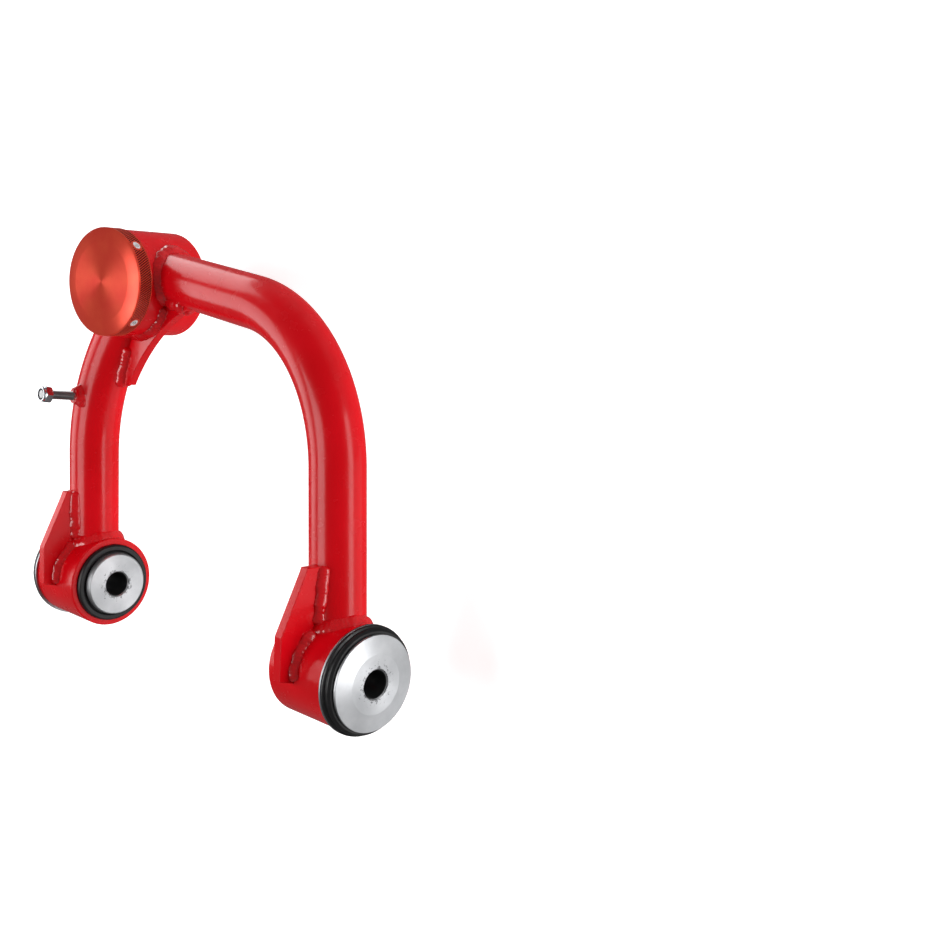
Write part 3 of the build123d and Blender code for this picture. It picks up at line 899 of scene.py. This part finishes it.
# ---------------------------------------------------------------- brake line bolt, nut and weld
foot, _ = rear_path.at(0.584 * rear_path.length)
lean = radians(3.5)
bolt_up = Vector((sin(lean), 0, cos(lean)))
bolt_x = Vector((cos(lean), 0, -sin(lean)))
bolt_y = bolt_up.cross(bolt_x)


def bolt_point(r, angle, h):
    return foot + bolt_x * (r * cos(angle)) + bolt_y * (r * sin(angle)) + bolt_up * h


def threaded(major, depth, thread_pitch, low, high):
    """A shape function for a right-hand screw thread between two heights."""
    def shape(r, angle, h):
        if r < major - 0.01 or h < low or h > high:
            return r
        fade = min(1.0, (h - low) / thread_pitch, (high - h) / thread_pitch + 0.15)
        return r - depth * fade * triangle(h / thread_pitch - angle / (2 * pi))
    return shape


def hexagon(flats, chamfer, low, high):
    """A shape function for a hexagon with chamfered corners."""
    def shape(r, angle, h):
        if r < flats / 2 - 0.01:
            return r
        limit = flats / cos(pi / 6) / 2
        end = min(h - low, high - h)
        if end < chamfer:
            limit -= (chamfer - end) * 1.5
        return min(flats / 2 / cos((angle + pi / 6) % (pi / 3) - pi / 6), limit)
    return shape


def rows_between(r, low, high, step):
    count = max(1, int((high - low) / step))
    return [(r, low + (high - low) * k / count) for k in range(count + 1)]


shank_rows = rows_between(bolt_r, 16.0, 42.6, 0.125)
shank = [(0, bolt_seat), (bolt_r, bolt_seat)] + shank_rows + [(2.55, bolt_end), (0, bolt_end)]
verts, faces = lathe(shank, bolt_point, 40, threaded(bolt_r, 0.42, 1.0, 20.0, 42.6))
add_piece("brake_line_bolt_threaded", verts, faces, "dark_steel", ["brake_line_bolt"], sharp=40)

head_r = bolt_flats / 2
head = [(0, bolt_seat)] + [(head_r, h) for h in (bolt_seat, 16.2, 16.6, 19.2, 19.6, bolt_head_end)]
head += [(3.1, bolt_head_end), (3.1, 17), (0, 17)]
verts, faces = lathe(head, bolt_point, 96, hexagon(bolt_flats, 0.6, bolt_seat, bolt_head_end))
add_piece("brake_line_bolt_head_painted", verts, faces, "paint", sharp=30)

nut_shape = hexagon(bolt_flats, 0.7, nut_start, nut_end)
nut = [(3.05, nut_start), (head_r, nut_start)]
nut += rows_between(head_r, 36.9, 37.6, 0.12) + rows_between(head_r, 40.7, 41.7, 0.12)
nut += [(4.75, nut_end), (4.75, 42.9), (4.45, 43.4), (3.95, 43.4), (3.95, 41.6), (3.05, 41.6)]
verts, faces = lathe(nut, bolt_point, 96, lambda r, a, h: nut_shape(r, a, h) if r > 4.9 else r)
add_piece("brake_line_nut_hexagon", verts, faces, "zinc", ["brake_line_nut"], sharp=30)

insert = rounded([(3.05, 41.7), (3.9, 41.7), (3.9, 43.05, 0.3), (3.05, 43.05, 0.2)], 0.1, 3)
verts, faces = lathe(insert, bolt_point, 64)
add_piece("nut_locking_insert", verts, faces, "nylon", ["nut_locking_ring"])


def blob(name, node_names, seed):
    """The lumpy weld that holds the bolt's head on the tube."""
    verts, faces = [], []
    rows, around = 26, 48
    lump_r = 7.6
    for j in range(rows + 1):
        tilt = pi * j / rows
        for k in range(around):
            angle = 2 * pi * k / around
            direction = bolt_up * cos(tilt) + (bolt_x * cos(angle) + bolt_y * sin(angle)) * sin(tilt)
            lobes = 0.9 * cos(3 * angle + 0.7) * sin(tilt) ** 2
            spot = direction * lump_r
            lumps = 0.9 * noise.noise(spot * 0.28 + Vector((seed, 2, 5)))
            grit = 0.35 * noise.noise(spot * 0.8 + Vector((seed, 1, 3)))
            ripple = 0.2 * abs(sin(2.6 * spot.length + 5 * tilt))
            r = lump_r + lobes + lumps + grit + ripple
            verts.append(foot + bolt_up * 13.4 + direction * r)
    for j in range(rows):
        for k in range(around):
            n = (k + 1) % around
            faces.append((j * around + k, j * around + n, (j + 1) * around + n, (j + 1) * around + k))
    obj = add_piece(name, verts, faces, "paint", node_names, sharp=60)
    obj.data.materials[0] = weld_paint
    return obj


blob("brake_bolt_weld_lump", ["brake_bolt_weld"], 4.0)

# ---------------------------------------------------------------- ball stud
thread_pitch = 1.5
thread_start = -49.0
neck = [(0, -12.0), (6.5, -12.0), (6.5, -31.0), (6.9, -32.6), (8.7, -33.7), (9.0, -34.2), (7.8, -48.0),
        (stud_thread_r, -48.6)]
thread_rows = [(stud_thread_r, -48.8 - 0.18 * k) for k in range(106)]
stud_profile = neck + thread_rows + [(5.9, stud_end), (0, stud_end)]


def stud_shape(r, angle, h):
    """Radius of the stud, with a thread cut from the taper to its end."""
    if r != stud_thread_r or h > thread_start:
        return r
    fade = min(1.0, (thread_start - h) / thread_pitch, (h - stud_end) / thread_pitch)
    return r - 0.75 * max(0.0, fade) * triangle(h / thread_pitch - angle / (2 * pi))


verts, faces = lathe(stud_profile, cup_point, 64, stud_shape)
ball_top = radians(26)
ball_foot = radians(154)
ball = [(ball_r * sin(t), ball_r * cos(t)) for t in (radians(26 + 4 * k) for k in range(33))]
v, f = lathe([(0, ball_r * cos(ball_top))] + ball + [(0, ball_r * cos(ball_foot))], cup_point, 64)
faces += [tuple(len(verts) + i for i in face) for face in f]
verts += v
add_piece("ball_stud_threaded", verts, faces, "stud_steel", ["ball_stud"], "stud", sharp=40)

# ---------------------------------------------------------------- dust boot
upper = [(21.6, -22.6, 0.2), (24.4, -22.4, 0.6), (24.9, -24.4, 0.5), (24.2, -26.0, 0.6), (23.2, -27.8, 0.8),
         (23.5, boot_split, 0.1), (21.9, boot_split, 0.1), (21.8, -27.6, 0.3), (23.2, -25.6, 0.3),
         (23.2, -24.4, 0.2), (21.6, -24.4, 0.2)]
verts, faces = lathe(rounded(upper, 0.4, 4), cup_point, 96)
obj = add_piece("boot_upper_convolution", verts, faces, "rubber", ["boot_upper_fold"], None)
tuple(cup_point(0, 0, -24.6) * MM)
tuple(cup_point(0, 0, -29.6) * MM)
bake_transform(obj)
lower = [(23.5, boot_split, 0.1), (23.6, -32.2, 1.2), (20.4, -34.6, 1.5), (15.6, -34.5, 1.5),
         (12.6, -35.6, 0.6), (10.7, -36.3, 0.3), (10.6, -38.4, 0.4), (9.1, -38.5, 0.1),
         (9.1, -33.9, 0.2), (11.5, -33.5, 0.8),
         (18.6, -33.0, 1.2), (21.4, -31.4, 0.9), (21.9, boot_split, 0.1)]
verts, faces = lathe(rounded(lower, 0.4, 4), cup_point, 96)
obj = add_piece("boot_lower_convolution", verts, faces, "rubber", ["boot_lower_fold"], None)
tuple(cup_point(0, 0, -30.0) * MM)
tuple(cup_point(0, 0, -33.4) * MM)
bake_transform(obj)

# ---------------------------------------------------------------- camera
camera_at = Vector((224.568, -695.114, 484.586)) * MM
view_right = Vector((0.06997, -0.711, -0.6997))
view_up = Vector((0.98684, 0.15182, -0.05558))
view_back = Vector((0.14575, -0.68661, 0.71227))
camera_data = bpy.data.cameras.new("camera")
camera = bpy.data.objects.new("camera", camera_data)
bpy.context.scene.collection.objects.link(camera)
camera.matrix_world = Matrix((
    (view_right.x, view_up.x, view_back.x, camera_at.x),
    (view_right.y, view_up.y, view_back.y, camera_at.y),
    (view_right.z, view_up.z, view_back.z, camera_at.z),
    (0, 0, 0, 1),
))
camera_data.sensor_width = 36
camera_data.lens = 51.692968
camera_data.clip_start = 0.01
camera_data.clip_end = 100
bpy.context.scene.camera = camera

# ---------------------------------------------------------------- floor and light
scene = bpy.context.scene
scene.view_settings.view_transform = "Standard"
scene.view_settings.look = "None"
middle = Vector((100, 0, 0)) * MM

floor_mesh = bpy.data.meshes.new("floor")
edge = 12.0
level = cad_box[0][2] - 0.004
corners = [(-edge, -edge, level), (edge, -edge, level), (edge, edge, level), (-edge, edge, level)]
floor_mesh.from_pydata(corners, [], [(0, 1, 2, 3)])
floor = bpy.data.objects.new("floor", floor_mesh)
scene.collection.objects.link(floor)
floor_mat, _, _, floor_shader = new_material("pale_floor")
floor_shader.inputs["Base Color"].default_value = (0.85, 0.85, 0.85, 1)
floor_shader.inputs["Roughness"].default_value = 0.9
floor_shader.inputs["Specular IOR Level"].default_value = 0.0
floor_shader.inputs["Emission Color"].default_value = (1, 1, 1, 1)
floor_shader.inputs["Emission Strength"].default_value = 0.75
floor_mesh.materials.append(floor_mat)
floor.visible_glossy = False
floor.visible_shadow = False

world = bpy.data.worlds.new("studio")
world.use_nodes = True
world.node_tree.nodes["Background"].inputs["Color"].default_value = (1, 1, 1, 1)
world.node_tree.nodes["Background"].inputs["Strength"].default_value = 0.13
scene.world = world


def softbox(name, direction, distance, width, height, radiance):
    """A rectangular light. direction points from the part to the light, and height lies near +X."""
    data = bpy.data.lights.new(name, "AREA")
    data.shape = "RECTANGLE"
    data.size = width
    data.size_y = height
    data.energy = radiance * pi * width * height
    obj = bpy.data.objects.new(name, data)
    scene.collection.objects.link(obj)
    back = Vector(direction).normalized()
    up = Vector((1, 0, 0))
    up = (up - back * up.dot(back)).normalized()
    right = up.cross(back)
    at = middle + back * distance
    obj.matrix_world = Matrix((
        (right.x, up.x, back.x, at.x),
        (right.y, up.y, back.y, at.y),
        (right.z, up.z, back.z, at.z),
        (0, 0, 0, 1),
    ))
    obj.visible_camera = False
    return obj


softbox("overhead_softbox", (-0.04, 0.22, 0.97), 1.3, 0.75, 0.9, 5.0)
softbox("right_softbox", (0.135, -0.965, -0.22), 1.3, 0.40, 1.2, 5.0)
panels = [  # name, direction, distance, width, height, radiance
    softbox("left_panel", (0.02, 0.84, 0.52), 1.4, 0.75, 0.8, 3.0),
    softbox("top_panel", (0.62, 0.78, 0.10), 1.4, 1.1, 0.6, 3.0),
    softbox("low_panel", (-0.30, -0.71, -0.64), 1.3, 1.2, 1.2, 0.60),
]
# the side panels pass the cap by, so that its spun face keeps its two dark sectors
lit = bpy.data.collections.new("all but the cap")
for obj in scene.objects:
    if obj.type == "MESH" and obj.name not in ("billet_cap_knurled", "billet_cap"):
        lit.objects.link(obj)
for panel in panels:
    panel.light_linking.receiver_collection = lit
